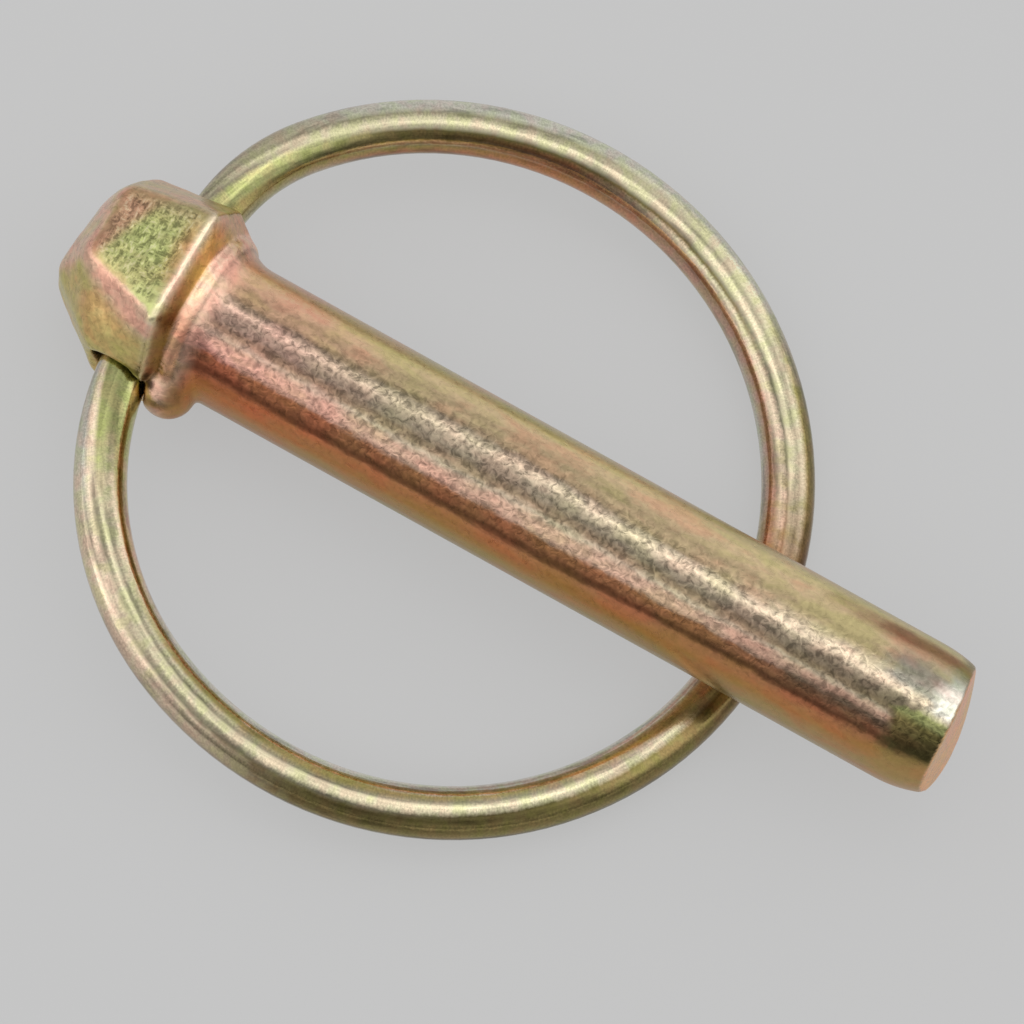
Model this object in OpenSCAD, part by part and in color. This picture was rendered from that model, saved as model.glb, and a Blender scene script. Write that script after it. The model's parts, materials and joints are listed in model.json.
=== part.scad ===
// Lynch pin, 10 mm: a forged headed pin and the round spring ring that hinges in its head.
// X runs along the shank to the tip. The origin is on the shank's axis, where its plain wall starts.
// Y is the axis of the cross hole, on which the ring swings. The ring is closed below the shank, at -Z.

/* [Shank] */
// Diameter of the plain shank
shank_d = 10; // [8:0.1:12]
// Length of the shank from the start of its plain wall to the tip
shank_l = 55; // [50:1:70]
// Length over which the rolled tip draws in
tip_l = 3.4; // [1:0.1:4]
// How far the rolled tip draws in, on the radius
tip_draw = 0.65; // [0.2:0.05:0.9]
// Angle by which the cropped end is out of square
tip_cut_deg = 5; // [0:0.5:8]
// How far the middle of the cropped end stands out, as its +Y and -Y sides were rolled over by the crop
tip_bulge = 0.6; // [0.2:0.05:0.9]

/* [Head] */
// Distance from the cross hole to the start of the plain wall
neck_l = 5.4; // [5:0.1:7]
// Width of the head at its rim, across the two sides with the hole's mouths
rim_w = 13.6; // [13:0.1:16]
// Height of the head at its rim
rim_h = 14.8; // [14:0.1:18]
// Width of the top and bottom facets at the rim
rim_flat_w = 8.4; // [6:0.1:9]
// Height of the side facets at the rim
rim_flat_h = 5.2; // [3:0.1:7]
// Distance from the cross hole to the rim
rim_x = 2; // [1.6:0.1:2.6]
// Distance from the cross hole to the brow, where the facets end
brow_x = 4.9; // [4:0.1:5.5]
// Width of the head at the brow, before the -Y side is drawn in
brow_w = 12.8; // [10:0.1:13]
// Height of the head at the brow
brow_h = 13.2; // [10:0.1:14]
// Width of the top and bottom facets at the brow
brow_flat_w = 5.4; // [4:0.1:7]
// Height of the side facets at the brow
brow_flat_h = 4.4; // [3:0.1:6]
// How much of the brow is drawn in on the -Y side
brow_cut = 1.7; // [0:0.1:3]
// Distance from the cross hole to the end face of the head
end_x = 6.9; // [6:0.1:8]
// Width of the end face
end_w = 7.4; // [5:0.1:9]
// Height of the end face
end_h = 8; // [6:0.1:10]
// How far the end face leans, which sets its upper edge back
end_lean_deg = 8; // [0:1:12]
// How far the end face is turned, which brings its -Y side out
end_turn_deg = 7; // [0:1:10]
// Sideways shift of the forged head on the shank
head_shift = 0.3; // [0:0.05:0.5]
// Angle by which the forged head leans about the cross hole
head_lean_deg = 6; // [0:0.5:8]
// Radius on the head's outer edges
edge_r = 0.9; // [0.5:0.05:1.2]
// Thickness of the worn land on the head's rim
rim_t = 0.4; // [0.2:0.1:0.8]
// How far from the cross hole the -Y side stays full
shoulder_x = 2; // [1:0.1:3]
// How far that shoulder is drawn in
shoulder_draw = 0.3; // [0:0.05:0.6]

/* [Collar under the head] */
// Radius of the collar's core over the shank's radius
collar_rise = 0.35; // [0.2:0.05:0.6]
// Radius of the rounded bead that runs round the collar, over the shank's radius
bead_rise = 1.1; // [0.9:0.05:1.3]
// Distance from the rim to the collar
collar_drop = 0.9; // [0.6:0.05:1.2]
// Thickness of the collar and its bead
collar_t = 0.9; // [0.7:0.05:1.1]
// Radius of the small flash bulge on the +Y side
bulge_r = 1; // [1:0.05:1.6]
// Radius of the large flash lobe on the -Y side
lobe_r = 1.95; // [1.4:0.05:2]
// How far in from the head's widest side the middle of that lobe lies
lobe_in = 1.3125; // [1.2:0.0125:1.5]

/* [Cross hole] */
// Play of the wire in the cross hole, on the diameter
hole_play = 1; // [0.7:0.05:1.2]

/* [Ring] */
// Diameter of the spring wire
wire_d = 3.6; // [3:0.1:3.7]
// Diameter of the ring, to the middle of the wire
ring_d = 47; // [44:0.2:60]
// How far the full circle would reach past the cross hole's axis
ring_overshoot = 2; // [1.8:0.05:2.2]
// Gap between the two ends of the wire
ends_gap = 2; // [1:0.5:4]
// Gap between the closed ring and the shank
shank_gap = 0.85; // [0.85:0.05:1.5]

/* [Hidden] */
$fn = 96;
BALL_FN = 24;
DISC_FN = 48;

shank_r = shank_d / 2;
wire_r = wire_d / 2;
hole_r = wire_r + hole_play / 2;
hinge_x = -neck_l;

// The tip's shoulder is an arc that leaves the plain wall without an edge.
// The cropped end is an arc as well.
tip_arc_r = (tip_l * tip_l + tip_draw * tip_draw) / (2 * tip_draw);
tip_spare = 1;
crop_arc_r = (shank_r * shank_r + tip_bulge * tip_bulge) / (2 * tip_bulge);

// The root fillet runs from the collar to the plain wall.
root_r = neck_l - rim_x - collar_drop;
collar_x = rim_x + collar_drop;
bead_r = collar_t / 2;

// The ring lies in a plane through the cross hole's axis, p along its length and Y across it.
ring_r = ring_d / 2;
ring_mid = ring_r - ring_overshoot;
ring_reach = ring_mid + ring_r;
close_deg = asin((shank_r + shank_gap + wire_r) / ring_reach);

// Each closing arc runs from the cross hole's axis into the main circle, which it touches from inside.
// The centres of the two are the ends of the long side of a right-angled triangle, given by its three sides.
// The +Y end of the wire runs straight for longer, and then bends more sharply than the -Y end.
SHARP_BEND = [4, 3, 5];
SOFT_BEND = [5, 12, 13];
JOIN_REACH = 10;
cut_l = 2 * ring_r;

cut_size = 3 * shank_d;

// Half of a section across the head: the corners on one side, going round
function half_section(w, h, flat_w, flat_h) = [
    [flat_w / 2, -h / 2], [w / 2, -flat_h / 2], [w / 2, flat_h / 2], [flat_w / 2, h / 2]
];

// A section across the head, with eight corners
function section(w, h, flat_w, flat_h) = [
    each half_section(w, h, flat_w, flat_h),
    each -1 * half_section(w, h, flat_w, flat_h)
];

// Balls at the corners of a section, which they fill to its full size
module corner_balls(w, h, flat_w, flat_h) {
    for (corner = section(w - 2 * edge_r, h - 2 * edge_r, flat_w - edge_r, flat_h - edge_r))
        translate([0, corner[0], corner[1]]) edge_ball();
}

module edge_ball() {
    sphere(r = edge_r, $fn = BALL_FN);
}

// The forged head sits a little out of square: it leans about the cross hole's axis.
module head_place() {
    rotate([0, -head_lean_deg, 0])
        translate([0, head_shift, 0]) children();
}

// The faceted block, which runs on past the rim
module block() {
    hull() {
        translate([edge_r - end_x, brow_cut / 2, 0]) rotate([0, end_lean_deg, -end_turn_deg])
            corner_balls(end_w, end_h, end_w / 2, end_h / 2);
        translate([edge_r - brow_x, brow_cut / 2, 0])
            corner_balls(brow_w - brow_cut, brow_h, brow_flat_w, brow_flat_h);
        // The -Y side stays full up to the shoulder.
        for (side_z = [-1, 1])
            translate([-shoulder_x, shoulder_draw + edge_r - rim_w / 2, side_z * brow_flat_h / 2])
                edge_ball();
        translate([rim_x + edge_r, 0, 0])
            corner_balls(rim_w, rim_h, rim_flat_w, rim_flat_h);
    }
}

// The block is trimmed square at the rim, which leaves a crisp edge all round.
module head_block() {
    head_place()
        intersection() {
            block();
            translate([rim_x - cut_size, -cut_size / 2, -cut_size / 2]) cube(cut_size);
        }
}

// The underside falls from the rim to the collar.
module underside() {
    hull() {
        head_place()
            translate([rim_x - rim_t, 0, 0]) rotate([90, 0, 90])
                linear_extrude(rim_t)
                    polygon(section(rim_w - rim_t, rim_h - rim_t, rim_flat_w, rim_flat_h));
        rotate([0, 90, 0])
            cylinder(r = shank_r + collar_rise / 2, h = collar_x, $fn = DISC_FN);
        bulge();
    }
}

// The collar has a small bulge on one side and a larger lobe on the other, where the dies met.
module collar() {
    hull() {
        translate([collar_x, 0, 0]) rotate([0, 90, 0])
            cylinder(r = shank_r + collar_rise, h = collar_t, $fn = DISC_FN);
        bulge();
        translate([neck_l - lobe_r, lobe_in - rim_w / 2, 0]) sphere(r = lobe_r, $fn = BALL_FN);
    }
}

module bulge() {
    translate([collar_x + bulge_r / 4, shank_r, 0])
        sphere(r = bulge_r, $fn = BALL_FN);
}

// The round bead on the collar leans with the head.
module bead() {
    translate([collar_x + bead_r, 0, 0]) rotate([0, 90 - head_lean_deg, 0])
        rotate_extrude()
            translate([shank_r + bead_rise - bead_r, 0]) circle(r = bead_r, $fn = BALL_FN);
}

// The fillet at the root of the head, which runs from the bead to the plain wall
module root_fillet() {
    translate([-root_r, 0, 0]) rotate([0, 90, 0])
        rotate_extrude()
            difference() {
                square([shank_r + bead_rise - bead_r, root_r]);
                translate([shank_r + root_r, root_r]) circle(r = root_r);
            }
}

module shank() {
    rotate([0, 90, 0])
        translate([0, 0, hinge_x]) cylinder(r = shank_r, h = neck_l + shank_l - tip_l);
}

// The rolled tip, cropped out of square
module tip() {
    intersection() {
        translate([shank_l - tip_l, 0, 0]) rotate([0, 90, 0])
            rotate_extrude()
                intersection() {
                    square([shank_r, tip_l + tip_spare]);
                    translate([shank_r - tip_arc_r, 0]) circle(r = tip_arc_r, $fn = 4 * $fn);
                }
        translate([shank_l, 0, 0]) rotate([0, 0, tip_cut_deg])
            translate([-crop_arc_r, 0, 0])
                cylinder(r = crop_arc_r, h = 2 * shank_d, center = true, $fn = 4 * $fn);
    }
}

module cross_hole() {
    translate([hinge_x, 0, 0]) rotate([90, 0, 0])
        cylinder(r = hole_r, h = 2 * rim_w, center = true);
}

module pin() {
    color([0.72, 0.62, 0.44])
        difference() {
            union() {
                shank();
                tip();
                root_fillet();
                translate([hinge_x, 0, 0]) {
                    head_block();
                    underside();
                    collar();
                    bead();
                }
            }
            cross_hole();
        }
}

// A full circle of the wire
module wire_circle(r) {
    rotate_extrude()
        translate([r, 0]) circle(r = wire_r);
}

// A flat plate with the given outline, thick enough to cut the wire
module cutter(outline) {
    linear_extrude(2 * wire_d, center = true)
        polygon(outline);
}

// How much a bend's triangle is enlarged, so that its arc touches both the axis and the main circle
function bend_scale(bend) = ring_overshoot / (bend[2] - bend[0]);
function bend_r(bend) = ring_r - bend[2] * bend_scale(bend);
function straight_l(bend) = bend[1] * bend_scale(bend);

// A point beyond the wire, on the line through both centres, where the main circle and a bend's arc meet
function join_point(bend) = JOIN_REACH * [-bend[0], bend[1]];

// One half of the main circle, from its far side to the joint with the bend
module main_half(bend) {
    translate([ring_mid, 0, 0])
        intersection() {
            wire_circle(ring_r);
            cutter([[0, 0], [2 * cut_l, 0], [0, 2 * cut_l], join_point(bend)]);
        }
}

// One end of the ring: the bend's arc and the straight end in the cross hole
module ring_end(bend) {
    translate([bend_r(bend), straight_l(bend), 0])
        intersection() {
            wire_circle(bend_r(bend));
            cutter([[0, 0], join_point(bend), [-cut_l, 0]]);
        }
    translate([0, ends_gap / 2, 0]) rotate([-90, 0, 0])
        cylinder(r = wire_r, h = straight_l(bend) - ends_gap / 2);
}

module half_ring(bend) {
    main_half(bend);
    ring_end(bend);
}

module snap_ring() {
    color([0.76, 0.71, 0.48])
        translate([hinge_x, 0, 0]) rotate([0, close_deg, 0]) {
            half_ring(SHARP_BEND);
            mirror([0, 1, 0]) half_ring(SOFT_BEND);
        }
}

pin();
snap_ring();
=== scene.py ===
"""A lynch pin in yellow zinc: the forged pin, its snap ring and a plain studio floor."""

import json
import math

import bpy
import numpy as np
from bpy.props import FloatProperty, FloatVectorProperty, IntProperty, PointerProperty
from mathutils import Matrix, Vector


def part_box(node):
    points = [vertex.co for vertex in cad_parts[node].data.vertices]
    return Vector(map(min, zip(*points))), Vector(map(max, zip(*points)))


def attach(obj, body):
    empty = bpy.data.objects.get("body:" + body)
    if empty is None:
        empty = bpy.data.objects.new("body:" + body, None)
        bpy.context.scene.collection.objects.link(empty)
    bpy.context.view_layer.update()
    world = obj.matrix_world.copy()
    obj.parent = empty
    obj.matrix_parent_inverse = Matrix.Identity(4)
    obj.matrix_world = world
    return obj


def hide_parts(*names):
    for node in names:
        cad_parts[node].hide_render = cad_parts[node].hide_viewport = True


bl_info = {
    "name": "Lynch Pin",
    "version": (1, 0, 0),
    "blender": (4, 5, 0),
    "location": "3D View > Sidebar > Lynch Pin",
    "description": "Finishes a forged lynch pin and its snap ring in yellow zinc",
    "category": "Object",
}

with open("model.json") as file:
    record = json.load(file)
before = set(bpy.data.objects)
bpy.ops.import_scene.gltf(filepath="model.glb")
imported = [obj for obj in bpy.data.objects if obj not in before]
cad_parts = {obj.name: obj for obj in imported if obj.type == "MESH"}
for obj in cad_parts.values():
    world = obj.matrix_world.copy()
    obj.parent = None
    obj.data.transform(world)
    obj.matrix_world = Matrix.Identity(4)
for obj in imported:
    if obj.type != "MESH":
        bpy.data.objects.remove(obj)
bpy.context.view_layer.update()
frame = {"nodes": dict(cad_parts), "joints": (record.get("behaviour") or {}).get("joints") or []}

MM = 0.001

# Degrees in a half turn, in a full turn and in a radian
HALF_TURN = 180
FULL_TURN = 360
DEGREES = HALF_TURN / math.pi

# The cross hole's middle, from the ring's joint, and how far the head leans on the shank
HINGE = Vector(frame["joints"][0]["pos_m"])
HEAD_LEAN = math.radians(6)

# The ring's wire, the radius of its main circle, how far that circle's centre is from the hinge, and how far
# it slopes at rest
RING_LOW, RING_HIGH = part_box("snap_ring")
WIRE_RADIUS = 1.8 * MM
RING_RADIUS = (RING_HIGH.y - RING_LOW.y) / 2 - WIRE_RADIUS
RING_MIDDLE = RING_RADIUS - 2.0 * MM
RING_CLOSED = math.radians(9.8)

# Where the camera looks, and its own directions: back from there to it, its right and its up
VIEW_TARGET = HINGE + Vector((26.74, -0.06, -4.19)) * MM
VIEW_BACK = Vector((0.1478, -0.2842, 0.9473)).normalized()
VIEW_RIGHT = Vector((0.8650, 0.5015, 0.0155)).normalized()
VIEW_UP = VIEW_BACK.cross(VIEW_RIGHT).normalized()
SENSOR_WIDTH = 36

# The floor's disc, and how much of its shade shows plainly, with the part's shadow over the rest
FLOOR_RADIUS = 1.6
FLOOR_SIDES = 96
FLOOR_PLAIN = 0.75

# How strongly the tent lights the part
TENT_STRENGTH = 1.2

# The lamps: metres to the right, up and back from where the camera looks, then width, height and power
LAMPS = (
    ("key", 0.05, 0.27, 0.5, 0.40, 0.16, 0.12),
    ("right", 0.45, 0.05, 0.25, 0.12, 0.30, 0.06),
    ("left", -0.45, 0.0, 0.25, 0.12, 0.30, 0.06),
)


class ForgingSizes(bpy.types.PropertyGroup):
    """Sizes of the forged surface"""
    grain: FloatProperty(name="Grain", description="Spacing of the points on the forged surface",
                         default=0.2 * MM, min=0.15 * MM, unit="LENGTH", precision=5)
    softening: IntProperty(name="Softening", description="How often the whole pin's edges are eased",
                           default=5, min=0)
    rounding: IntProperty(name="Rounding", description="How often the head's far end is eased again",
                          default=30, min=0)
    easing: IntProperty(name="Easing", description="How often the whole head is eased again",
                        default=14, min=0)
    hammering: FloatProperty(name="Hammering", description="Depth of the dimples on the head's top facet",
                             default=0.12 * MM, unit="LENGTH", precision=5)
    waviness: FloatProperty(name="Waviness", description="Depth of the slow unevenness of the head",
                            default=0.25 * MM, unit="LENGTH", precision=5)


class ZincColours(bpy.types.PropertyGroup):
    """Colours of the yellow zinc plating"""
    # Cream also serves as painted highlights on the shank, the rolled tip, the rim and the ring's wire.
    cream: FloatVectorProperty(name="Cream", description="Worn, bright plating", subtype="COLOR",
                               default=(0.92, 0.75, 0.54))
    straw: FloatVectorProperty(name="Straw", description="Plating on the drawn wire", subtype="COLOR",
                               default=(0.82, 0.74, 0.50))
    tan: FloatVectorProperty(name="Tan", description="Plating on the shank", subtype="COLOR",
                             default=(0.95, 0.72, 0.43))
    pink: FloatVectorProperty(name="Pink", description="Pink bloom of the passivation", subtype="COLOR",
                              default=(0.95, 0.62, 0.45))
    olive: FloatVectorProperty(name="Olive", description="Yellow-green passivation", subtype="COLOR",
                               default=(0.82, 0.66, 0.35))
    # Moss also serves as painted shade, the dark reflections on the sides of the wire that face downwards.
    moss: FloatVectorProperty(name="Moss", description="Dark streaks on the wire", subtype="COLOR",
                              default=(0.82, 0.66, 0.26))
    green: FloatVectorProperty(name="Green", description="Green bloom", subtype="COLOR",
                               default=(0.41, 0.44, 0.17))
    # Amber is also part of the painted reflection in the groove past the head's rim.
    amber: FloatVectorProperty(name="Amber", description="Deep golden passivation", subtype="COLOR",
                               default=(0.80, 0.40, 0.13))
    rust: FloatVectorProperty(name="Rust", description="Red-brown passivation", subtype="COLOR",
                              default=(0.80, 0.36, 0.17))
    dusty: FloatVectorProperty(name="Dusty", description="Pale grey-green plating", subtype="COLOR",
                               default=(0.80, 0.78, 0.66))
    lime: FloatVectorProperty(name="Lime", description="Yellow-green bloom", subtype="COLOR",
                              default=(0.62, 0.62, 0.27))
    honey: FloatVectorProperty(name="Honey", description="Golden olive passivation", subtype="COLOR",
                               default=(0.80, 0.52, 0.20))
    # Umber also serves as the painted shade along the crease at the bead's root.
    umber: FloatVectorProperty(name="Umber", description="Dark scale left in the streaks", subtype="COLOR",
                               default=(0.50, 0.37, 0.24))


class StageSettings(bpy.types.PropertyGroup):
    """The floor, the lamps and the camera"""
    floor_grey: FloatProperty(name="Floor grey", description="Brightness of the floor",
                              default=0.558, min=0, max=1)
    distance: FloatProperty(name="Camera distance", description="From the camera to the middle of the pin",
                            default=1.5, unit="LENGTH")
    view_width: FloatProperty(name="View width", description="Width that the camera takes in",
                              default=68.09 * MM, unit="LENGTH", precision=5)


class NodeDesk:
    """Lays out and joins the nodes of one material."""

    def __init__(self, tree):
        self.tree = tree
        tree.nodes.clear()

    def add(self, kind, values=None, **settings):
        made = self.tree.nodes.new(kind)
        for name, value in settings.items():
            setattr(made, name, value)
        for key, value in (values or {}).items():
            if isinstance(value, bpy.types.NodeSocket):
                self.tree.links.new(value, made.inputs[key])
            else:
                made.inputs[key].default_value = value
        return made

    def math(self, operation, *values, clamp=False):
        made = self.add("ShaderNodeMath", dict(enumerate(values)), operation=operation, use_clamp=clamp)
        return made.outputs[0]

    def dot(self, first, second):
        made = self.add("ShaderNodeVectorMath", {0: first, 1: second}, operation="DOT_PRODUCT")
        return made.outputs["Value"]

    def mix(self, factor, first, second, blend="MIX"):
        sockets = {0: factor, 6: first, 7: second}
        return self.add("ShaderNodeMix", sockets, data_type="RGBA", blend_type=blend).outputs[2]

    def noise(self, vector, scale, detail=2.0, rough=0.5, distortion=0.0):
        made = self.add("ShaderNodeTexNoise", {"Vector": vector, "Scale": scale, "Detail": detail,
                                               "Roughness": rough, "Distortion": distortion})
        return made.outputs["Fac"]

    def sway(self, value, noise, amount):
        """The value, moved up and down by the noise."""
        return self.math("MULTIPLY_ADD", self.math("SUBTRACT", noise, 0.5), amount, value)

    def stretch(self, vector, scale, rotation=(0, 0, 0)):
        made = self.add("ShaderNodeMapping", {"Vector": vector, "Scale": scale, "Rotation": rotation})
        return made.outputs[0]

    def ramp(self, factor, stops):
        made = self.add("ShaderNodeValToRGB", {"Fac": factor})
        band = made.color_ramp
        while len(band.elements) < len(stops):
            band.elements.new(0.5)
        for element, (place, colour) in zip(band.elements, stops):
            element.position = place
            element.color = colour
        return made.outputs[0]

    def level(self, factor, low, high):
        """A value from 0 to 1 as the factor goes from low to high."""
        made = self.add("ShaderNodeMapRange", {"Value": factor, "From Min": low, "From Max": high},
                        interpolation_type="SMOOTHSTEP")
        return made.outputs[0]

    def metal(self, colour, roughness, height, depth):
        bump = self.add("ShaderNodeBump", {"Height": height, "Distance": depth, "Strength": 1.0})
        shader = self.add("ShaderNodeBsdfPrincipled", {"Base Color": colour, "Roughness": roughness,
                                                       "Metallic": 1.0, "Normal": bump.outputs[0]})
        self.add("ShaderNodeOutputMaterial", {"Surface": shader.outputs[0]})


def new_material(name):
    made = bpy.data.materials.new(name)
    made.use_nodes = True
    return made, NodeDesk(made.node_tree)


def grey(value):
    return (value, value, value, 1)


# The bands that run along the shank, partly plating streaks and partly painted highlights and shade: the
# angle about its axis in degrees, the colour, and how strong it is
SHANK_BANDS_AND_SHADING = (
    (90, "cream", 0.66), (72, "olive", 0.74), (64, "olive", 0.88), (58, "olive", 1.1), (50, "tan", 0.96),
    (44, "tan", 0.8), (37, "tan", 0.54), (31, "tan", 0.58), (26, "tan", 0.4), (22, "cream", 0.46),
    (17, "cream", 0.74), (13, "cream", 0.45), (9, "cream", 0.28), (5, "cream", 0.23), (0, "umber", 0.43),
    (-3, "umber", 0.62), (-7, "cream", 0.5), (-12, "pink", 0.58), (-17, "pink", 0.7), (-20, "pink", 0.55),
    (-23, "rust", 0.5), (-29, "rust", 0.58), (-33, "rust", 0.27), (-36, "rust", 0.32), (-39.5, "rust", 0.76),
    (-54, "amber", 0.64), (-64, "honey", 0.58), (-75, "honey", 0.52), (-92, "olive", 0.48),
    (-130, "tan", 0.6),
)

# What is laid over those bands, and how much of it at each angle. Near the collar the streaks are darker.
COLLAR_STREAKS = ((-180, 0), (5, 0), (11, 0.25), (18, 0.28), (24, 0.35), (29, 0), (180, 0))

# Towards the tip the dark streaks are darker still, the bright streak gets a paler painted highlight, the
# underside is greener and a brown line runs along the upper side.
TIP_STREAKS = ((-180, 0), (-38, 0), (-34, 0.2), (-26, 0.75), (-20, 1.0), (-15, 0.6), (-10, 0.25), (-2, 0.6),
               (5, 0.65), (11, 0.5), (16, 0.35), (21, 0), (180, 0))
TIP_PAINTED_HIGHLIGHT = ((-180, 0), (14, 0), (18, 0.45), (23, 0.9), (28, 0.7), (34, 0), (180, 0))
TIP_UNDER = ((-180, 0.2), (-100, 0.3), (-62, 0.2), (-50, 0), (180, 0))
TIP_EDGE = ((-180, 0), (45, 0), (51, 0.9), (57, 0.9), (64, 0), (180, 0))

# A dull patch lies above the bright streak just before the rolled tip.
TIP_DULL = ((-180, 0), (20, 0), (26, 0.85), (40, 0.75), (48, 0), (180, 0))

# The bands round the rolled tip: green in the middle, with painted shade that darkens them below and a
# painted highlight that brightens them above
TIP_BANDS_AND_SHADING = (
    (-46, "honey", 0.6), (-37, "moss", 0.16), (-28, "moss", 0.15), (-12, "moss", 0.16), (-5, "moss", 0.2),
    (2, "lime", 0.3), (9, "lime", 0.5), (14, "straw", 0.7), (19, "dusty", 0.95), (38, "dusty", 1.15),
    (44, "dusty", 0.7), (52, "moss", 0.42), (68, "moss", 0.4), (90, "olive", 0.5),
)

# How rough the scale is at each angle, from 0 to 1
SHANK_SCALE = ((-180, 0.3), (-60, 0.12), (-36, 0.3), (-22, 0.7), (-8, 0.9), (20, 1.0), (30, 0.5), (45, 0.2),
               (180, 0.3))

# The pink bloom by the collar, which is multiplied over the bands
PINK_BLOOM = (1.12, 0.92, 1.0, 1)

# Where the bloom and the streaks fade in along the shank, in metres from the head's underside
COLLAR_BLOOMS = (13 * MM, 3 * MM)
COLLAR_DARKENS = (27 * MM, 7 * MM)
TIP_DARKENS = (34 * MM, 48 * MM)
TIP_EDGE_SHOWS = (43 * MM, 49 * MM)
TIP_TURNS_DULL = (48.5 * MM, 50.5 * MM)

# Where the rolled tip's bands start, how much sooner they do so on the lower side, how fast they come in, and
# where that side begins, in turns about the shank
TIP_ROLLS = 52.9 * MM
TIP_ROLLS_SOONER = 2 * MM
TIP_ROLL_FADE = 1 * MM
TIP_LOWER_SIDE = (0.54, 0.5)

# The angles about the shank are counted from a line turned this far from straight up.
SHANK_TURN = math.radians(-16.7)

# The shank's streaks draw together towards the tip: the wave that shifts them, and how its height grows
STREAK_WAVE = 3.0
STREAK_WAVE_START = 0.73
STREAK_PULL = 5.8
STREAK_PULL_AT_COLLAR = -0.143
STREAK_PULL_LEAST = -0.02

# How fine the pin's patterns are, in waves to the metre
DRIFT = 180
SMEAR = 350
BLOOM = 420
FLECK = 900
RAGGED = 1500
SCALE = 2200
STROKES = 3800
DASHES = 4200

# How far they move the bands: in radians round the shank, and in metres along it
DRIFT_BY = 0.18
RAGGED_BY = 0.14
SMEAR_BY = 8 * MM
FLECK_BY = 2 * MM

# The two directions of the crystals on the level facets
DASHES_TURN = math.radians(20)
STROKES_TURN = math.radians(-50)

# The size of the head's slow unevenness, and of the dimples in its top facet
UNEVEN_SIZE = 3.2 * MM
DIMPLE_SIZE = 0.45 * MM

# How rough each finish is, how much rougher its fine pattern makes it, and how deep its relief is
PIN_ROUGHNESS = 0.2
PIN_ROUGHER = 0.2
PIN_BUMP = 0.05 * MM
RING_ROUGHNESS = 0.11
RING_ROUGHER = 0.1
RING_BUMP = 0.02 * MM

# The first coat on the head: the way that a face looks, its colour, its strength, and how narrow its reach is
FACE_COLOURS = (
    ((0, 0, 1), "green", 1.0, 30), ((-1, 0, 0), "cream", 0.85, 6), ((0, 1, 0), "tan", 0.75, 6),
    ((0, -1, 0), "olive", 0.85, 6), ((0, -0.75, 0.65), "olive", 0.6, 14), ((0, 0.7, 0.7), "tan", 0.7, 10),
    ((-0.6, 0, 0.8), "pink", 0.85, 12), ((-0.7, -0.6, 0.3), "pink", 0.8, 8),
    ((-0.3, -0.35, 0.9), "cream", 0.8, 30), ((0, 0, -1), "green", 1.0, 20),
    ((0, -0.7, -0.7), "olive", 0.6, 8), ((0, 0.7, -0.7), "tan", 0.6, 8),
)

# Places on the head, in millimetres from the cross hole's axis towards the tip
RIM = 1.95
PAST_RIM = 2.0
BEAD = 2.85
BEAD_ENDS = 3.75
ROOT = 3.92

# Where a spot of painted shade marks a small hollow beside the lobe, in millimetres from the origin
PIT_SHADE_PLACE = (-2.9, -6.2, 1.5)

# The upright part of a normal at which a facet counts as level: from not at all to fully
LEVEL_FACETS = (0.93, 0.985)

# The light tent: degrees away from the camera, and how bright the cloth is there, from 0 to 1
TENT = ((0, 1.0), (60, 1.0), (80, 0.85), (100, 0.7), (180, 0.5))

# How bright the tent is at each height, from straight down in the camera's view (-1) to straight up (1)
FALL = ((-1, 0.2), (-0.66, 0.24), (-0.5, 0.5), (-0.3, 0.9), (0, 1.0), (0.55, 1.0), (0.75, 0.68), (1, 0.7))
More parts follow.
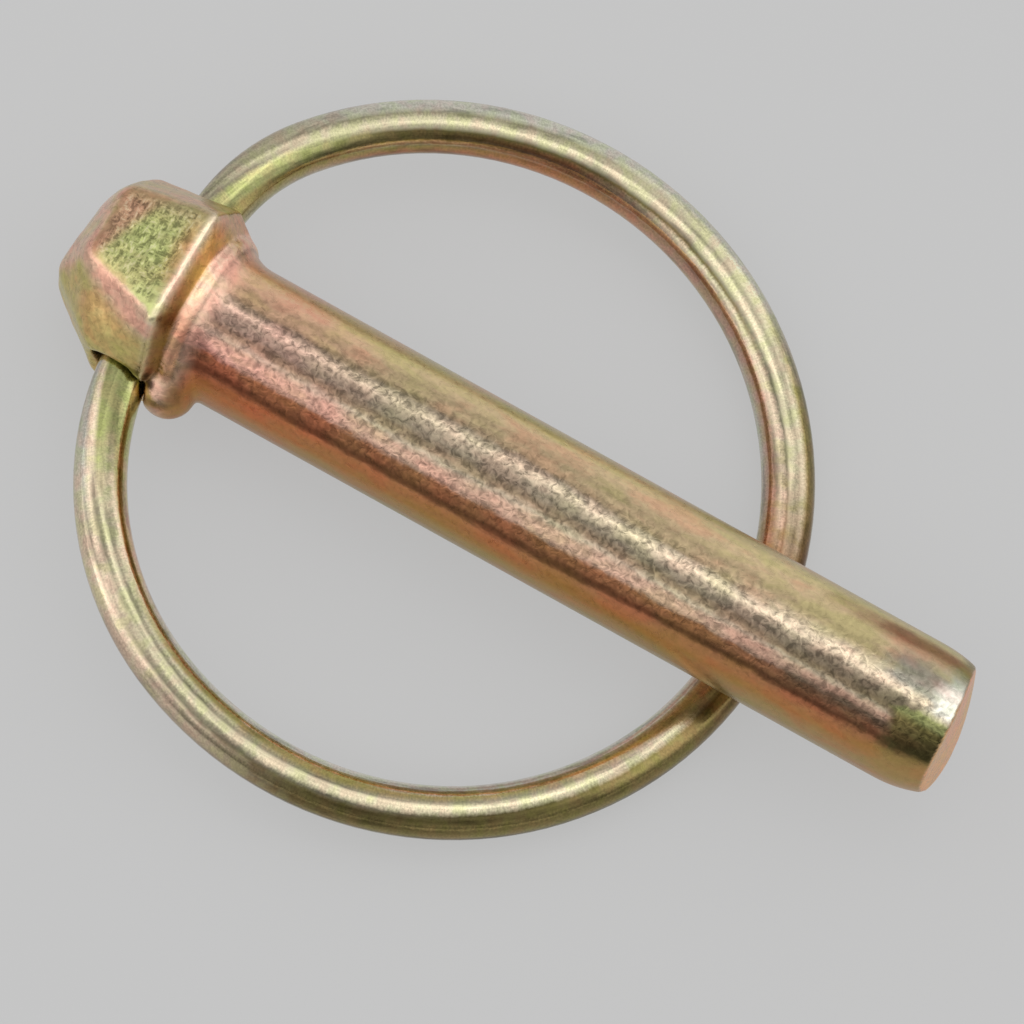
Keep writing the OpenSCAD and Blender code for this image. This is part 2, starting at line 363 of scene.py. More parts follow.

# The bands that run along the ring's wire, partly plating and partly painted reflections, both highlights and
# shade, at places round the ring in degrees (180 is the hinge, and the +Y side is positive). Each has the
# angle round the wire from its top, negative towards the ring's outer side.
RING_BANDS_AND_REFLECTIONS = (
    (150, (
        (-70, "straw", 0.55), (-45, "straw", 0.72), (-31, "straw", 0.5), (-20, "straw", 0.95),
        (-9, "straw", 0.44), (4, "lime", 0.78), (14, "lime", 0.72), (26, "lime", 0.45),
        (36, "moss", 0.34), (46, "moss", 0.5), (75, "straw", 0.6),
    )),
    (128, (
        (-70, "dusty", 0.92), (-48, "dusty", 0.92), (-31, "straw", 0.46), (-20, "straw", 0.72),
        (-8, "straw", 0.54), (2, "straw", 0.36), (9, "moss", 0.12), (20, "moss", 0.2),
        (29, "moss", 0.34), (36, "cream", 0.75), (46, "moss", 0.52), (64, "rust", 0.56),
        (78, "umber", 0.5),
    )),
    (100, (
        (-72, "dusty", 1.0), (-45, "dusty", 0.95), (-31, "straw", 0.52), (-20, "straw", 0.5),
        (-6, "straw", 0.72), (2, "straw", 0.34), (8, "moss", 0.13), (20, "rust", 0.28),
        (30, "pink", 0.24), (36, "pink", 0.62), (46, "rust", 0.56), (64, "rust", 0.68),
        (80, "rust", 0.6),
    )),
    (68, (
        (-60, "dusty", 0.9), (-44, "straw", 1.3), (-32, "straw", 0.86), (-22, "straw", 0.48),
        (-12, "straw", 0.64), (-3, "straw", 0.72), (4, "straw", 0.36), (10, "moss", 0.2),
        (18, "straw", 0.85), (26, "cream", 0.66), (34, "pink", 0.75), (45, "pink", 0.5),
        (60, "pink", 0.56), (80, "tan", 0.55),
    )),
    (38, (
        (-74, "moss", 0.3), (-45, "moss", 0.46), (-31, "straw", 0.86), (-21, "straw", 0.54),
        (-10, "straw", 0.78), (-3, "straw", 0.62), (3, "straw", 0.24), (9, "cream", 0.5),
        (17, "cream", 0.84), (25, "cream", 0.46), (32, "pink", 0.36), (45, "pink", 0.62),
        (70, "dusty", 0.7),
    )),
    (8, (
        (-70, "rust", 0.3), (-20, "rust", 0.2), (10, "rust", 0.3), (40, "rust", 0.5),
    )),
    (-24, (
        (-76, "moss", 0.2), (-62, "moss", 0.36), (-42, "moss", 0.28), (-28, "moss", 0.46),
        (-10, "moss", 0.35), (0, "straw", 0.62), (9, "straw", 0.66), (17, "cream", 0.6),
        (26, "tan", 0.52), (36, "tan", 0.7), (46, "dusty", 0.95), (56, "pink", 0.7), (66, "dusty", 0.8),
        (78, "dusty", 1.0),
    )),
    (-50, (
        (-76, "moss", 0.2), (-62, "moss", 0.36), (-42, "moss", 0.25), (-28, "moss", 0.6),
        (-18, "moss", 0.22), (-8, "moss", 0.1), (0, "straw", 0.44), (6, "straw", 0.76),
        (14, "straw", 0.72), (24, "straw", 0.44), (36, "moss", 0.52), (45, "dusty", 0.9),
        (56, "dusty", 0.8), (64, "cream", 0.5), (76, "dusty", 0.85),
    )),
    (-80, (
        (-76, "moss", 0.24), (-62, "moss", 0.34), (-42, "moss", 0.17), (-30, "moss", 0.4),
        (-18, "moss", 0.25), (-9, "straw", 0.2), (-2, "straw", 0.62), (6, "straw", 0.88),
        (12, "straw", 0.62), (20, "straw", 0.25), (32, "moss", 0.42), (43, "moss", 0.52),
        (51, "dusty", 1.2), (60, "dusty", 0.9), (76, "dusty", 1.0),
    )),
    (-108, (
        (-74, "cream", 0.5), (-45, "cream", 0.85), (-35, "cream", 0.68), (-24, "cream", 1.0),
        (-14, "straw", 0.26), (-6, "straw", 0.32), (2, "straw", 0.8), (9, "straw", 0.56),
        (18, "straw", 0.18), (28, "straw", 0.66), (37, "moss", 0.45), (45, "moss", 0.42),
        (52, "dusty", 1.2), (60, "dusty", 0.85), (76, "dusty", 1.0),
    )),
    (-134, (
        (-50, "cream", 0.88), (-36, "cream", 1.1), (-23, "cream", 0.32), (-8, "cream", 0.88),
        (3, "straw", 0.36), (13, "straw", 0.66), (23, "straw", 0.36), (34, "straw", 0.66),
        (44, "cream", 0.84), (55, "moss", 0.55), (63, "tan", 0.9), (72, "pink", 0.85),
    )),
    (-155, (
        (-20, "dusty", 0.85), (-5, "cream", 0.85), (5, "cream", 0.85), (15, "lime", 0.52),
        (26, "lime", 0.42), (38, "lime", 0.24), (46, "lime", 0.34), (56, "lime", 0.6),
        (66, "lime", 0.9),
    )),
)

# Past this many degrees from its top the wire is plain.
RING_PLAIN_PAST = 100
RING_PLAIN = ("straw", 0.75)

# The bands lean over by this many degrees on the ring's two sides.
RING_LEAN = 16.5

# How fine the ring's patterns are, in waves to the wire's radius, and how they are drawn out along the wire
RING_BLOOM = 1.3
RING_LINES = 2.6
RING_FINE = 9.0
LINES_ALONG = 0.04
PATCHES_ALONG = 8.0

# How many degrees they move the bands: round the wire, by blooms and by fine speckle, and round the ring
RING_BLOOM_BY = 7.0
RING_FINE_BY = 5.0
RING_PLACE_BY = 14.0


def strong(colours, name, strength):
    """A colour of the plating, made weaker or stronger."""
    return tuple(part * strength for part in getattr(colours, name)) + (1,)


def coloured(stops, colours, width):
    """A colour ramp's stops, from angles in degrees. The ramp is as many degrees wide, about 0."""
    return [(0.5 + degrees / width, strong(colours, name, much)) for degrees, name, much in stops]


def select_only(piece):
    bpy.ops.object.select_all(action="DESELECT")
    piece.select_set(True)
    bpy.context.view_layer.objects.active = piece


def apply_modifier(piece, kind, **settings):
    made = piece.modifiers.new(kind.title(), kind)
    for name, value in settings.items():
        setattr(made, name, value)
    bpy.ops.object.modifier_apply(modifier=made.name)


def cad_copy(node, name):
    """A copy of a CAD node's mesh, with its loose triangles joined up."""
    source = frame["nodes"][node]
    piece = bpy.data.objects.new(name, source.data.copy())
    bpy.context.scene.collection.objects.link(piece)
    piece.data.materials.clear()
    select_only(piece)
    bpy.ops.object.mode_set(mode="EDIT")
    bpy.ops.mesh.select_all(action="SELECT")
    bpy.ops.mesh.remove_doubles(threshold=0.001 * MM)
    bpy.ops.object.mode_set(mode="OBJECT")
    return piece


def points_of(piece):
    """A mesh's points and their normals."""
    flat = np.zeros(len(piece.data.vertices) * 3, np.float32)
    piece.data.vertices.foreach_get("co", flat)
    normals = np.zeros(len(piece.data.vertices) * 3, np.float32)
    piece.data.vertices.foreach_get("normal", normals)
    return flat.reshape(-1, 3), normals.reshape(-1, 3)


def smoothstep(values, low, high):
    """0 at low and 1 at high, with an eased rise between. Low may be the larger."""
    t = np.clip((values - low) / (high - low), 0, 1)
    return t * t * (3 - 2 * t)


def weights(piece, name, values):
    """A vertex group that holds the values, apart from those near 0."""
    group = piece.vertex_groups.new(name=name)
    for index in np.nonzero(values > 0.01)[0]:
        group.add([int(index)], float(values[index]), "REPLACE")


def layer(piece, name, kind, part, values):
    """An attribute with a value for each point, for the piece's finish to read."""
    piece.data.attributes.new(name, kind, "POINT").data.foreach_set(part, values.astype(np.float32).ravel())


def cloud(name, size, **settings):
    made = bpy.data.textures.new(name, "CLOUDS")
    made.noise_scale = size
    for key, value in settings.items():
        setattr(made, key, value)
    return made


def head_frame(points, normals):
    """Points and normals turned upright with the head, which leans about the cross hole's axis."""
    turn = np.array(Matrix.Rotation(HEAD_LEAN, 3, "Y"), np.float32)
    return (points - np.array(HINGE, np.float32)) @ turn.T, normals @ turn.T


class Coats:
    """The colours at the pin's points, in coats. Its places are in millimetres from the hinge."""

    def __init__(self, pin, colours):
        self.colours = colours
        self.points, self.normals = points_of(pin)
        place, self.facing = head_frame(self.points, self.normals)
        self.x, self.y, self.z = (place / MM).T
        self.tint = self.first_coat()
        self.top_facet()
        self.flank()
        self.collar()
        self.rim_highlight_and_pit_shade()
        self.end = self.end_face()

    def first_coat(self):
        """Colours mixed by which way each point faces."""
        total = np.zeros((len(self.points), 3), np.float32)
        share = np.zeros((len(self.points), 1), np.float32)
        for way, name, strength, sharpness in FACE_COLOURS:
            way = np.array(way, np.float32) / np.linalg.norm(way)
            near = np.exp(sharpness * (self.facing @ way - 1))[:, None]
            total += near * np.array(getattr(self.colours, name), np.float32) * strength
            share += near
        return total / share

    def paint(self, mask, name, strength):
        colour = np.array(getattr(self.colours, name)) * strength
        self.tint += (colour - self.tint) * mask[:, None]

    def top_facet(self):
        """The top facet is green, yellower towards -Y, brown beside the rim and pink at its far corner."""
        x, y = self.x, self.y
        top = smoothstep(self.facing[:, 2], 0.8, 0.95)
        self.paint(0.85 * top, "green", 1.15)
        self.paint(0.95 * top * smoothstep(y, -0.8, -3.2), "lime", 0.95)
        self.paint(0.6 * top * smoothstep(x, 0.1, 1.3) * smoothstep(y, -1.8, 0.4), "rust", 0.62)
        corner = top * smoothstep(x - 0.4 * y, -2.7, -3.9)
        self.paint(0.9 * corner, "pink", 0.58)
        self.paint(0.4 * corner, "rust", 0.55)
        self.paint(0.8 * top * smoothstep(y, 2.6, 3.8), "olive", 0.6)

    def flank(self):
        """The -Y flank is pink beside the facet and yellow-olive below."""
        flank = smoothstep(-self.facing[:, 1], 0.4, 0.7)
        self.paint(0.8 * flank * smoothstep(self.z, 4.8, 6.0), "pink", 0.85)
        self.paint(flank * smoothstep(self.z, 5.9, 4.6), "moss", 0.78)
        self.paint(0.7 * flank * smoothstep(self.z, 3.6, 2.4) * smoothstep(self.x, -1, 1.5), "moss", 0.6)

    def collar(self):
        """Past the rim the groove is amber, partly the plating and partly a painted reflection, with painted
        shade that darkens it on the -Y side. The bead is pale pink, partly a painted highlight, darker on its
        -Y side from painted shade, and a line of painted shade lies along its root.
        """
        x, y = self.x, self.y
        past_rim = smoothstep(x, PAST_RIM, PAST_RIM + 0.25)
        # The groove past the rim: amber plating and a painted reflection, kept dark on the -Y side as painted
        # shade
        self.paint(past_rim, "amber", 0.42)
        self.paint(past_rim * smoothstep(y, -2.0, 2.5), "amber", 0.95)
        self.paint(0.7 * past_rim * smoothstep(y, 3.5, 5), "pink", 0.7)
        on_bead = smoothstep(x, BEAD, BEAD + 0.2)
        # The bead: pale pink with a painted highlight, and painted shade on its -Y side
        self.paint(on_bead, "pink", 1.05)
        self.paint(0.6 * on_bead * smoothstep(y, 0, -3.5), "rust", 0.85)
        self.paint(smoothstep(x, BEAD_ENDS, BEAD_ENDS + 0.2), "pink", 0.8)
        # A line of painted shade along the crease at the bead's root
        self.paint(0.4 * np.exp(-((x - ROOT) / 0.13) ** 2), "umber", 0.35)
        lobe = smoothstep(-self.points[:, 1], 5.4 * MM, 6 * MM) * smoothstep(x, 2.3, 2.7)
        self.paint(lobe, "pink", 0.72)
        self.paint(0.6 * lobe * smoothstep(x, 3.4, 4.4), "honey", 0.75)

    def rim_highlight_and_pit_shade(self):
        """The rim shows wear and a painted highlight, most of all at the top facet, and a spot of painted
        shade marks a small hollow beside the lobe.
        """
        # A painted highlight along the rim, over real wear, brightest towards the top facet
        wear_and_highlight = np.exp(-((self.x - RIM) / 0.3) ** 2) * (0.3 + 0.7 * smoothstep(self.z, 5, 7))
        self.paint(wear_and_highlight, "cream", 1.0)
        # A spot of painted shade where a small hollow lies beside the lobe
        pit_shade = smoothstep(np.linalg.norm(self.points / MM - PIT_SHADE_PLACE, axis=1), 0.5, 0.2)
        self.tint *= (1 - 0.85 * pit_shade)[:, None]

    def end_face(self):
        """The tip's flat end, amber with a pink upper part. Returns where it is."""
        end = smoothstep(self.normals[:, 0], 0.75, 0.9) * (self.points[:, 0] > 45 * MM)
        self.paint(end, "amber", 1.1)
        self.paint(0.35 * end * smoothstep(self.points[:, 2], -1 * MM, 3 * MM), "pink", 0.8)
        return end

    def keep(self, pin):
        """Keep the colours on the pin, with where its shank is and where it is hammered."""
        opaque = np.ones((len(self.points), 1))
        shank = smoothstep(self.points[:, 0], -2.0 * MM, -0.6 * MM) * (1 - self.end)
        hammered = (1 - smoothstep(self.x, 0.9, 1.7)) * smoothstep(np.abs(self.facing[:, 2]), *LEVEL_FACETS)
        layer(pin, "tint", "FLOAT_COLOR", "color", np.concatenate([self.tint, opaque], axis=1))
        layer(pin, "shank", "FLOAT", "value", shank)
        layer(pin, "hammered", "FLOAT", "value", hammered)


class PinZinc:
    """The pin's material. Its shank has bands that depend on the angle about its axis."""

    def __init__(self, colours):
        self.colours = colours
        self.made, self.desk = new_material("pin_yellow_zinc")
        self.own = self.desk.add("ShaderNodeTexCoord").outputs["Object"]
        self.along = self.desk.add("ShaderNodeSeparateXYZ", {0: self.own}).outputs[0]
        self.around = self.turn_about_shank()
        tint = self.kept("tint", "Color")
        shank = self.kept("shank", "Fac")
        hammered = self.kept("hammered", "Fac")
        bands = self.collar(self.shank_bands_and_shading())
        bands = self.rolled_tip(self.near_tip(bands))
        colour = self.crystals(self.desk.mix(shank, tint, bands), hammered)
        self.scale(colour, shank, hammered)

    def kept(self, name, part):
        return self.desk.add("ShaderNodeAttribute", attribute_name=name).outputs[part]

    def turn_about_shank(self):
        """The angle about the shank in turns, 0.5 at the line of SHANK_TURN, made a little ragged."""
        desk = self.desk
        turned = desk.stretch(self.own, (1, 1, 1), rotation=(SHANK_TURN, 0, 0))
        parts = desk.add("ShaderNodeSeparateXYZ", {0: turned}).outputs
        angle = desk.math("ARCTAN2", parts[1], parts[2])
        angle = desk.sway(angle, desk.noise(desk.stretch(self.own, (0.3, 1, 1)), DRIFT, 1), DRIFT_BY)
        angle = desk.sway(angle, desk.noise(desk.stretch(self.own, (0.45, 1, 1)), RAGGED, 3, 0.65), RAGGED_BY)
        wave = desk.math("SINE", desk.math("MULTIPLY_ADD", angle, STREAK_WAVE, STREAK_WAVE_START))
        pull = desk.math("MULTIPLY_ADD", self.along, STREAK_PULL, STREAK_PULL_AT_COLLAR)
        pull = desk.math("MAXIMUM", pull, STREAK_PULL_LEAST)
        angle = desk.math("ADD", angle, desk.math("MULTIPLY", wave, pull))
        return desk.math("ADD", desk.math("DIVIDE", angle, 2 * math.pi), 0.5)

    def much(self, stops):
        """A strength from 0 to 1 that depends on the angle about the shank."""
        stops = [(0.5 + degrees / FULL_TURN, grey(much)) for degrees, much in stops]
        return self.desk.ramp(self.around, stops)

    def lay(self, bands, stops, place, name, strength):
        """Lay a colour over the bands, as much as the angle and the place along the shank ask for."""
        part = self.desk.math("MULTIPLY", self.much(stops), place)
        return self.desk.mix(part, bands, strong(self.colours, name, strength))

    # The shank's bands: plating streaks with painted highlights and shade among them
    def shank_bands_and_shading(self):
        stops = sorted(coloured(SHANK_BANDS_AND_SHADING, self.colours, FULL_TURN))
        seam = stops[0][1]
        return self.desk.ramp(self.around, [(0.0, seam), *stops, (1.0, seam)])

    def collar(self, bands):
        """Near the collar the plating blooms pink and the streaks are darker."""
        near_collar = self.desk.level(self.along, *COLLAR_BLOOMS)
        bands = self.desk.mix(near_collar, bands, PINK_BLOOM, "MULTIPLY")
        return self.lay(bands, COLLAR_STREAKS, self.desk.level(self.along, *COLLAR_DARKENS), "umber", 0.3)

    def near_tip(self, bands):
        """Towards the tip the dark streaks turn darker and the bright one gets a paler painted highlight."""
        smeared = self.desk.sway(self.along, self.desk.noise(self.own, SMEAR, 2), SMEAR_BY)
        near_tip = self.desk.level(smeared, *TIP_DARKENS)
        bands = self.lay(bands, TIP_STREAKS, near_tip, "umber", 0.22)
        # A painted highlight in cream along the bright streak near the tip
        bands = self.lay(bands, TIP_PAINTED_HIGHLIGHT, near_tip, "cream", 0.8)
        bands = self.lay(bands, TIP_UNDER, near_tip, "olive", 0.62)
        return self.lay(bands, TIP_EDGE, self.desk.level(smeared, *TIP_EDGE_SHOWS), "rust", 0.4)

    def rolled_tip(self, bands):
        """The rolled tip has bands of its own, with painted shade below and a painted highlight above, after
        a dull patch above the bright streak.
        """
        desk = self.desk
        flecked = desk.sway(self.along, desk.noise(self.own, FLECK, 2), FLECK_BY)
        bands = self.lay(bands, TIP_DULL, desk.level(flecked, *TIP_TURNS_DULL), "dusty", 0.36)
        lower_side = desk.level(self.around, *TIP_LOWER_SIDE)
        starts = desk.math("MULTIPLY_ADD", lower_side, -TIP_ROLLS_SOONER, TIP_ROLLS)
        at_end = desk.math("DIVIDE", desk.math("SUBTRACT", flecked, starts), TIP_ROLL_FADE, clamp=True)
        rolled = desk.ramp(self.around, coloured(TIP_BANDS_AND_SHADING, self.colours, FULL_TURN))
        return desk.mix(at_end, bands, rolled)

    def crystals(self, colour, hammered):
        """The hammered facets are crossed by short crystals, pale on dark, that lie in two directions."""
        desk = self.desk
        dashes = desk.stretch(self.own, (0.9, 0.35, 1), rotation=(0, 0, DASHES_TURN))
        strokes = desk.stretch(self.own, (0.35, 0.9, 1), rotation=(0, 0, STROKES_TURN))
        dashes = desk.noise(dashes, DASHES, 2, 0.6)
        strokes = desk.noise(strokes, STROKES, 2, 0.6)
        dashes = desk.math("MAXIMUM", dashes, desk.math("SUBTRACT", strokes, 0.03))
        pale = desk.mix(0.35, colour, strong(self.colours, "straw", 1.05))
        ground = desk.ramp(dashes, [(0.44, grey(0.5)), (0.55, grey(1.05))])
        crystals = desk.mix(1.0, colour, ground, "MULTIPLY")
        crystals = desk.mix(desk.level(dashes, 0.57, 0.68), crystals, pale)
        return desk.mix(hammered, colour, crystals)

    def scale(self, colour, shank, hammered):
        """Fine scale all over, strongest on the shank's rough streaks, and slow changes of hue."""
        desk = self.desk
        scale = desk.noise(self.own, SCALE, 2.0, 0.55, distortion=0.7)
        roughened = desk.mix(shank, grey(0.35), self.much(SHANK_SCALE))
        speckle = desk.ramp(scale, [(0.34, grey(0.38)), (0.5, grey(0.97)), (0.66, grey(1.5))])
        colour = desk.mix(desk.math("MULTIPLY", roughened, 0.8), colour, speckle, "MULTIPLY")
        bloom = desk.noise(desk.stretch(self.own, (0.5, 1, 1)), BLOOM, 3, 0.6)
        hue = desk.ramp(bloom, [(0.36, (0.9, 1.03, 0.8, 1)), (0.5, grey(1)), (0.62, (1.1, 0.86, 0.9, 1))])
        calm = desk.math("MAXIMUM", desk.math("MULTIPLY", shank, roughened), hammered)
        colour = desk.mix(desk.math("MULTIPLY_ADD", calm, -0.5, 0.85), colour, hue, "MULTIPLY")
        roughness = desk.math("MULTIPLY_ADD", scale, PIN_ROUGHER, PIN_ROUGHNESS)
        height = desk.math("MULTIPLY", scale, desk.math("MULTIPLY_ADD", roughened, 0.8, 0.2))
        desk.metal(colour, roughness, height, PIN_BUMP)


class LYNCHPIN_OT_forged_pin(bpy.types.Operator):
    """Make the forged pin, with eased edges, a hammered facet and its zinc finish"""
    bl_idname = "lynchpin.forged_pin"
    bl_label = "Forged pin"

    def execute(self, context):
        colours = context.scene.lynch_pin_colours
        pin = cad_copy("pin", "forged_pin")
        self.ease_edges(pin, context.scene.lynch_pin_forging)
        self.hammer(pin, context.scene.lynch_pin_forging)
        Coats(pin, colours).keep(pin)
        pin.data.materials.append(PinZinc(colours).made)
        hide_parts("pin")
        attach(pin, "pin")
        return {"FINISHED"}

    def ease_edges(self, pin, sizes):
        """Remake the pin's surface in small even faces, and ease its edges, most at the head's far end."""
        apply_modifier(pin, "REMESH", mode="VOXEL", voxel_size=sizes.grain, use_smooth_shade=True)
        apply_modifier(pin, "SMOOTH", factor=0.5, iterations=sizes.softening)
        place = head_frame(*points_of(pin))[0]
        weights(pin, "far_end", 1 - smoothstep(place[:, 0], -2.2 * MM, 0.2 * MM))
        weights(pin, "forged", 1 - smoothstep(place[:, 0], 0.8 * MM, 1.8 * MM))
        apply_modifier(pin, "SMOOTH", factor=0.5, iterations=sizes.rounding, vertex_group="far_end")
        apply_modifier(pin, "SMOOTH", factor=0.5, iterations=sizes.easing, vertex_group="forged")

    def hammer(self, pin, sizes):
        """Make the head slightly uneven, and put fine dimples in its top facet."""
        place, facing = head_frame(*points_of(pin))
        on_head = 1 - smoothstep(place[:, 0], 1.2 * MM, 2.4 * MM)
        weights(pin, "head", on_head)
        weights(pin, "facet", on_head * smoothstep(facing[:, 2], *LEVEL_FACETS))
        apply_modifier(pin, "DISPLACE", texture=cloud("slow_unevenness", UNEVEN_SIZE),
                       texture_coords="LOCAL", strength=sizes.waviness, mid_level=0.5, vertex_group="head")
        apply_modifier(pin, "DISPLACE", texture=cloud("dimples", DIMPLE_SIZE, noise_depth=1),
                       texture_coords="LOCAL", strength=sizes.hammering, mid_level=0.5, vertex_group="facet")


class LYNCHPIN_OT_snap_ring(bpy.types.Operator):
    """Give the snap ring its drawn wire finish"""
    bl_idname = "lynchpin.snap_ring"
    bl_label = "Snap ring"

    def execute(self, context):
        ring = frame["nodes"]["snap_ring"]
        ring.data.materials.clear()
        ring.data.materials.append(self.finish(context.scene.lynch_pin_colours))
        return {"FINISHED"}

    def finish(self, colours):
        made, desk = new_material("ring_yellow_zinc")
        own = desk.add("ShaderNodeTexCoord").outputs["Object"]
        # The ring laid level with its hinge at the origin, then measured from its own centre
        moved = desk.add("ShaderNodeVectorMath", {0: own, 1: -HINGE}, operation="ADD").outputs[0]
        flat = desk.stretch(moved, (1, 1, 1), rotation=(0, -RING_CLOSED, 0))
        parts = desk.add("ShaderNodeSeparateXYZ", {0: flat}).outputs
        out = desk.math("SUBTRACT", parts[0], RING_MIDDLE)
        squares = desk.math("ADD", desk.math("POWER", out, 2.0), desk.math("POWER", parts[1], 2.0))
        reach = desk.math("SQRT", squares)
        aside = desk.math("DIVIDE", desk.math("SUBTRACT", reach, RING_RADIUS), WIRE_RADIUS)
        above = desk.math("DIVIDE", parts[2], WIRE_RADIUS)
        place = desk.math("MULTIPLY", desk.math("ARCTAN2", parts[1], out), DEGREES)
        # Lines that run along the wire, and patches on it
        along = desk.math("MULTIPLY", place, LINES_ALONG)
        lines = desk.add("ShaderNodeCombineXYZ", {0: aside, 1: above, 2: along}).outputs[0]
        along = desk.math("MULTIPLY", along, PATCHES_ALONG)
        patches = desk.add("ShaderNodeCombineXYZ", {0: aside, 1: above, 2: along}).outputs[0]
        drawn = desk.noise(lines, RING_LINES, 3, 0.6)
        blooms = desk.noise(patches, RING_BLOOM, 2, 0.5)
        fine = desk.noise(patches, RING_FINE, 2, 0.6)
        # The bands lie at angles round the wire, and lean over on the ring's two sides.
        lean = desk.math("MULTIPLY_ADD", desk.math("DIVIDE", parts[1], reach), RING_LEAN, HALF_TURN / 2)
        angle = desk.math("MULTIPLY", desk.math("ARCTAN2", above, aside), DEGREES)
        angle = desk.math("WRAP", desk.math("SUBTRACT", angle, lean), HALF_TURN, -HALF_TURN)
        angle = desk.sway(desk.sway(angle, blooms, RING_BLOOM_BY), fine, RING_FINE_BY)
        across = desk.math("MULTIPLY_ADD", angle, 1 / (2 * RING_PLAIN_PAST), 0.5)
        colour = self.bands(desk, colours, desk.sway(place, blooms, RING_PLACE_BY), across)
        # Fine drawing lines, slow changes of hue and fine speckle
        streaky = desk.ramp(drawn, [(0.36, grey(0.72)), (0.46, grey(1.0)), (0.6, grey(1.08))])
        hue = desk.ramp(blooms, [(0.36, (0.94, 1.0, 0.86, 1)), (0.5, grey(1)), (0.62, (1.04, 0.95, 0.98, 1))])
        speckle = desk.ramp(fine, [(0.36, grey(0.84)), (0.64, grey(1.14))])
        for pattern in (streaky, hue, speckle):
            colour = desk.mix(1.0, colour, pattern, "MULTIPLY")
        roughness = desk.math("MULTIPLY_ADD", fine, RING_ROUGHER, RING_ROUGHNESS)
        desk.metal(colour, roughness, desk.math("ADD", drawn, desk.math("MULTIPLY", fine, 0.15)), RING_BUMP)
        return made

    def bands(self, desk, colours, place, across):
        """The bands along the wire, with their painted reflections, which turn from one set into the next
        round the ring.
        """
        colour = None
        last = None
        for degrees, stops in RING_BANDS_AND_REFLECTIONS:
            stops = ((-RING_PLAIN_PAST, *RING_PLAIN), *stops, (RING_PLAIN_PAST, *RING_PLAIN))
            band = desk.ramp(across, coloured(stops, colours, 2 * RING_PLAIN_PAST))
            colour = desk.mix(desk.level(place, last, degrees), colour, band) if colour else band
            last = degrees
        return colour


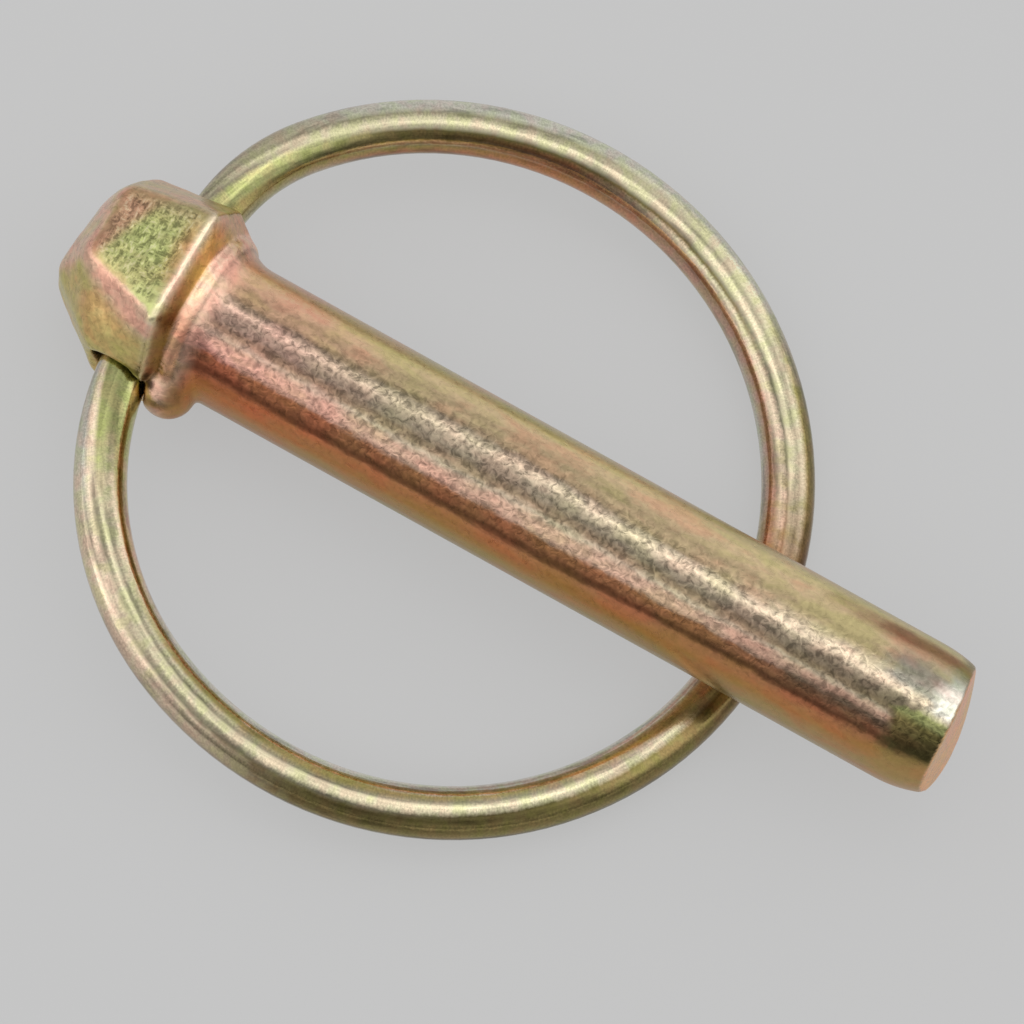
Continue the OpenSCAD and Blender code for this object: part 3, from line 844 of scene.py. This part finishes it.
class LYNCHPIN_OT_stage(bpy.types.Operator):
    """Lay the floor under the part, hang the lamps and set up the camera"""
    bl_idname = "lynchpin.stage"
    bl_label = "Floor, lamps and camera"

    def execute(self, context):
        settings = context.scene.lynch_pin_stage
        self.floor(settings)
        self.world(context.scene, settings)
        self.lamps()
        self.camera(context.scene, settings)
        return {"FINISHED"}

    def resting_plane(self):
        """The slope and the height of the floor that both the pin and the ring touch, found by halving."""
        pin = points_of(frame["nodes"]["pin"])[0]
        ring = points_of(frame["nodes"]["snap_ring"])[0]
        steepest, flattest, halvings = -0.2, 0.0, 40
        for _ in range(halvings):
            slope = (steepest + flattest) / 2
            gap = (pin[:, 2] - slope * pin[:, 0]).min() - (ring[:, 2] - slope * ring[:, 0]).min()
            if gap > 0:
                flattest = slope
            else:
                steepest = slope
        return slope, float((ring[:, 2] - slope * ring[:, 0]).min())

    def floor(self, settings):
        slope, height = self.resting_plane()
        bpy.ops.object.select_all(action="DESELECT")
        bpy.ops.mesh.primitive_circle_add(vertices=FLOOR_SIDES, radius=FLOOR_RADIUS, fill_type="NGON",
                                          location=(0, 0, 0))
        floor = bpy.context.object
        floor.name = "floor"
        lie = Matrix.Translation((0, 0, height)) @ Matrix.Rotation(-math.atan(slope), 4, "Y")
        floor.data.transform(lie)
        made, desk = new_material("floor_grey")
        shade = settings.floor_grey
        plain = desk.add("ShaderNodeBsdfDiffuse", {"Color": grey(shade)})
        glow = desk.add("ShaderNodeEmission", {"Color": grey(shade), "Strength": 1.0})
        rays = desk.add("ShaderNodeLightPath").outputs
        seen = desk.math("MAXIMUM", rays["Is Camera Ray"], rays["Is Glossy Ray"])
        seen = desk.math("MAXIMUM", seen, rays["Is Transmission Ray"])
        part = desk.math("MULTIPLY", seen, FLOOR_PLAIN)
        both = desk.add("ShaderNodeMixShader", {0: part, 1: plain.outputs[0], 2: glow.outputs[0]})
        desk.add("ShaderNodeOutputMaterial", {"Surface": both.outputs[0]})
        floor.data.materials.append(made)

    def world(self, scene, settings):
        world = bpy.data.worlds.new("studio")
        scene.world = world
        world.use_nodes = True
        desk = NodeDesk(world.node_tree)
        way = desk.add("ShaderNodeTexCoord").outputs["Generated"]
        up = desk.dot(way, VIEW_UP)
        back = desk.dot(way, VIEW_BACK)
        aside = desk.math("DIVIDE", desk.math("ARCCOSINE", back), math.pi)
        # The tent's cloth is brightest round the camera and dimmer low down.
        panels = desk.ramp(aside, [(degrees / HALF_TURN, grey(light)) for degrees, light in TENT])
        height = desk.math("MULTIPLY_ADD", up, 0.5, 0.5)
        fall = desk.ramp(height, [(place / 2 + 0.5, grey(light)) for place, light in FALL])
        shade = desk.mix(1.0, panels, fall, "MULTIPLY")
        lit = desk.add("ShaderNodeBackground", {"Color": shade, "Strength": TENT_STRENGTH})
        seen = desk.add("ShaderNodeBackground", {"Color": grey(settings.floor_grey), "Strength": 1.0})
        camera_ray = desk.add("ShaderNodeLightPath").outputs["Is Camera Ray"]
        both = desk.add("ShaderNodeMixShader", {0: camera_ray, 1: lit.outputs[0], 2: seen.outputs[0]})
        desk.add("ShaderNodeOutputWorld", {"Surface": both.outputs[0]})

    def lamps(self):
        for name, right, up, back, width, height, power in LAMPS:
            light = bpy.data.lights.new(name, "AREA")
            light.shape = "RECTANGLE"
            light.size = width
            light.size_y = height
            light.energy = power
            lamp = bpy.data.objects.new(name, light)
            away = VIEW_RIGHT * right + VIEW_UP * up + VIEW_BACK * back
            lamp.location = VIEW_TARGET + away
            lamp.rotation_euler = away.to_track_quat("Z", "Y").to_euler()
            bpy.context.scene.collection.objects.link(lamp)

    def camera(self, scene, settings):
        lens = bpy.data.cameras.new("camera")
        lens.sensor_width = SENSOR_WIDTH
        lens.lens = SENSOR_WIDTH * settings.distance / settings.view_width
        lens.clip_start = 0.01
        lens.clip_end = 10
        camera = bpy.data.objects.new("camera", lens)
        axes = Matrix((VIEW_RIGHT, VIEW_UP, VIEW_BACK)).transposed().to_4x4()
        camera.matrix_world = Matrix.Translation(VIEW_TARGET + VIEW_BACK * settings.distance) @ axes
        scene.collection.objects.link(camera)
        scene.camera = camera
        scene.view_settings.view_transform = "Standard"


class LYNCHPIN_PT_panel(bpy.types.Panel):
    """Lynch pin"""
    bl_idname = "LYNCHPIN_PT_panel"
    bl_label = "Lynch Pin"
    bl_space_type = "VIEW_3D"
    bl_region_type = "UI"
    bl_category = "Lynch Pin"

    def draw(self, context):
        for name in ("lynch_pin_forging", "lynch_pin_colours", "lynch_pin_stage"):
            group = getattr(context.scene, name)
            for key in group.__annotations__:
                self.layout.prop(group, key)
        for step in STEPS:
            self.layout.operator(step.bl_idname)


STEPS = (LYNCHPIN_OT_forged_pin, LYNCHPIN_OT_snap_ring, LYNCHPIN_OT_stage)
CLASSES = (ForgingSizes, ZincColours, StageSettings, *STEPS, LYNCHPIN_PT_panel)


def register():
    for made in CLASSES:
        bpy.utils.register_class(made)
    bpy.types.Scene.lynch_pin_forging = PointerProperty(type=ForgingSizes)
    bpy.types.Scene.lynch_pin_colours = PointerProperty(type=ZincColours)
    bpy.types.Scene.lynch_pin_stage = PointerProperty(type=StageSettings)


def unregister():
    del bpy.types.Scene.lynch_pin_stage
    del bpy.types.Scene.lynch_pin_colours
    del bpy.types.Scene.lynch_pin_forging
    for made in reversed(CLASSES):
        bpy.utils.unregister_class(made)


def main():
    register()
    bpy.ops.lynchpin.forged_pin()
    bpy.ops.lynchpin.snap_ring()
    bpy.ops.lynchpin.stage()


if __name__ == "__main__":
    main()
